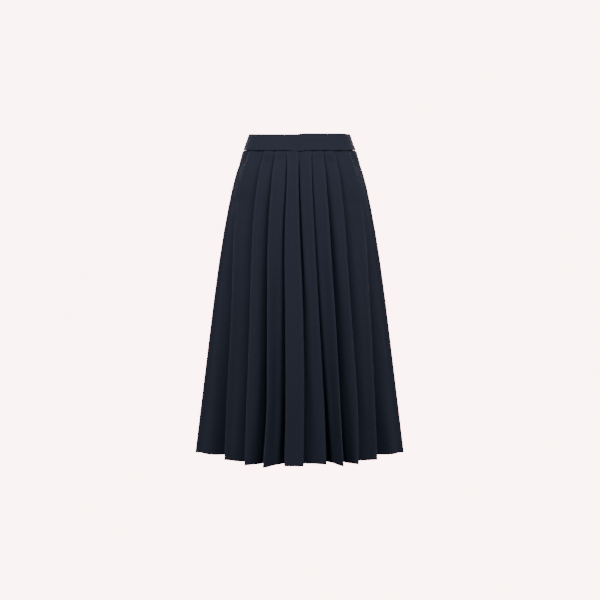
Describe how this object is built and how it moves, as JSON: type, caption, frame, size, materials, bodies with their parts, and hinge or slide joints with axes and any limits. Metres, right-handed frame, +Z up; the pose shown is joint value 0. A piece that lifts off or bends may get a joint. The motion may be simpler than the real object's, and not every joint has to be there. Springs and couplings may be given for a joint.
{
  "type": "pleated wrap skirt",
  "caption": "Midi skirt of dark cloth with a plain waistband and outward knife pleats, opened like a bell, lapped and buttoned at the back",
  "frame": {"origin": "centre of the ring that the waistband makes round the waist, at half the band's height", "axes": "+Z up along the wearer's body, -Y out of the front, +X to the right of someone who faces the front"},
  "size_m": [0.5034, 0.3458, 0.7645],
  "materials": {
    "skirt_cloth": "matte navy crepe suiting with a faint sheen",
    "button": "plain dark navy, satin"
  },
  "bodies": {
    "root": {"waistband": "skirt_cloth", "front_panel": "skirt_cloth", "back_over_panel": "skirt_cloth", "back_under_panel": "skirt_cloth", "waist_button": "button"}
  },
  "joints": []
}
